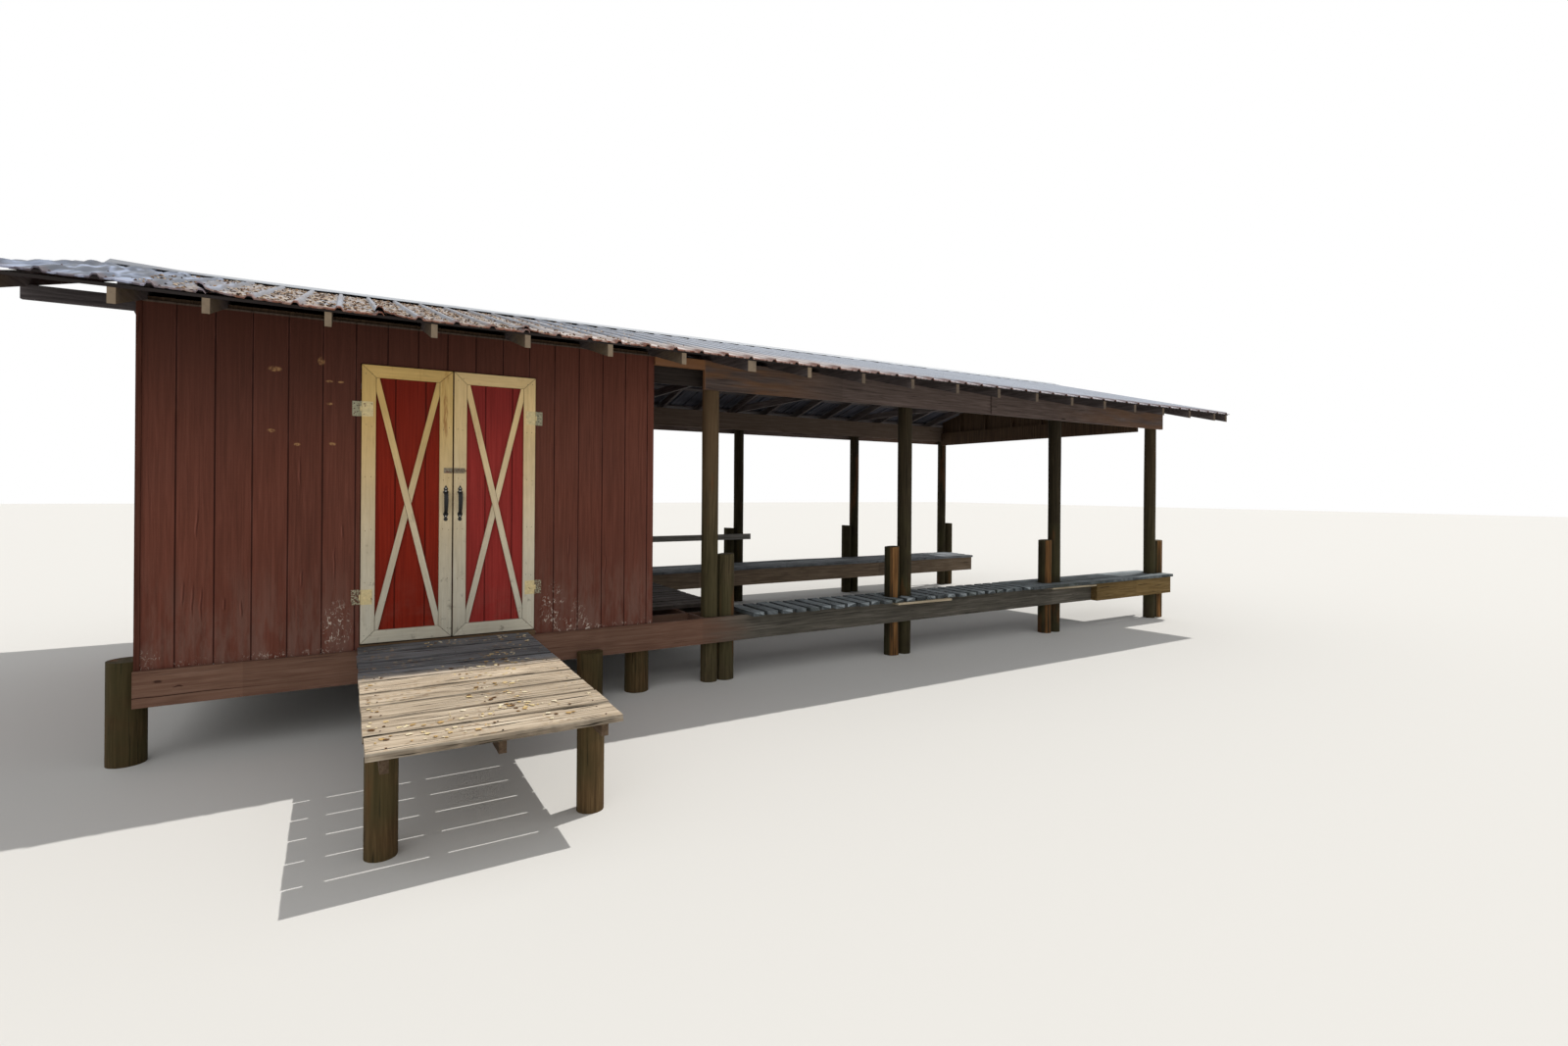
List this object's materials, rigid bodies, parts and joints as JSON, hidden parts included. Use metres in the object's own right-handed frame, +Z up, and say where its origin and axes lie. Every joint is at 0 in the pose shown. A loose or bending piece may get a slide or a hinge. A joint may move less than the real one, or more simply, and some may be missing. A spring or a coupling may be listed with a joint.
{
  "type": "boathouse",
  "caption": "Boathouse on piles: a grooved-board shed with braced double doors and a ramp, and a covered boat slip with round posts, board walks and a ribbed metal gable roof.",
  "frame": {"origin": "middle of the whole box at the level of the pile feet", "axes": "+X along the ridge from the shed towards the slip's open end, +Y from the doors to the rear, +Z up"},
  "size_m": [12.31, 7.6239, 3.7609],
  "materials": {
    "wall_paint": "weathered red-brown paint",
    "raw_wood": "bare sawn timber",
    "beam_wood": "weathered timber",
    "post_wood": "treated round timber with algae",
    "grey_wood": "grey weathered boards",
    "ramp_wood": "bleached boards",
    "roof_metal": "galvanised, rusty at the edges",
    "door_red": "red paint",
    "door_trim": "worn cream paint",
    "black_iron": "black paint",
    "hinge_steel": "galvanised with rust"
  },
  "bodies": {
    "root": {"front_wall_left": "wall_paint", "front_wall_right": "wall_paint", "front_wall_header": "wall_paint", "left_wall": "wall_paint", "right_wall": "wall_paint", "rear_wall": "wall_paint", "floor_boards": "raw_wood", "floor_frame": "raw_wood", "front_rim": "wall_paint", "shed_piles": "post_wood", "wall_hinge_leaves": "hinge_steel", "near_posts": "post_wood", "far_posts": "post_wood", "near_stub_piles": "post_wood", "far_stub_piles": "post_wood", "front_beam": "beam_wood", "rear_beam": "beam_wood", "inner_beams": "beam_wood", "cross_ties": "raw_wood", "end_gable": "wall_paint", "front_rafters": "raw_wood", "rear_rafters": "raw_wood", "ridge_board": "raw_wood", "front_laths": "raw_wood", "rear_laths": "raw_wood", "front_roof": "roof_metal", "rear_roof": "roof_metal", "ridge_cap": "roof_metal", "rake_lookouts": "raw_wood", "near_walk_frame": "grey_wood", "near_walk_boards": "grey_wood", "near_walk_planks": "grey_wood", "end_timber": "beam_wood", "head_walk_frame": "grey_wood", "head_walk_boards": "grey_wood", "far_walk_frame": "grey_wood", "far_walk_boards": "grey_wood", "far_rail": "grey_wood", "ramp_boards": "ramp_wood", "ramp_stringers": "ramp_wood"},
    "left_door": {"left_door_panel": "door_red", "left_door_trim": "door_trim", "left_door_pull": "black_iron", "left_door_hinges": "door_trim", "bolt_keeper": "hinge_steel"},
    "right_door": {"right_door_panel": "door_red", "right_door_trim": "door_trim", "right_door_pull": "black_iron", "right_door_hinges": "door_trim", "bolt_guides": "hinge_steel"},
    "bolt": {"bolt_rod": "hinge_steel"}
  },
  "joints": [
    {"name": "left_door_hinge", "type": "hinge", "parent": "root", "child": "left_door", "pos_m": [-4.321, -1.4221, 1.682], "axis": [0, 0, -1], "range_deg": [0, 165]},
    {"name": "right_door_hinge", "type": "hinge", "parent": "root", "child": "right_door", "pos_m": [-3.08, -1.4221, 1.682], "axis": [0, 0, 1], "range_deg": [0, 165]},
    {"name": "bolt_slide", "type": "slide", "parent": "right_door", "child": "bolt", "axis": [-1, 0, 0], "range_m": [0, 0.045]}
  ]
}
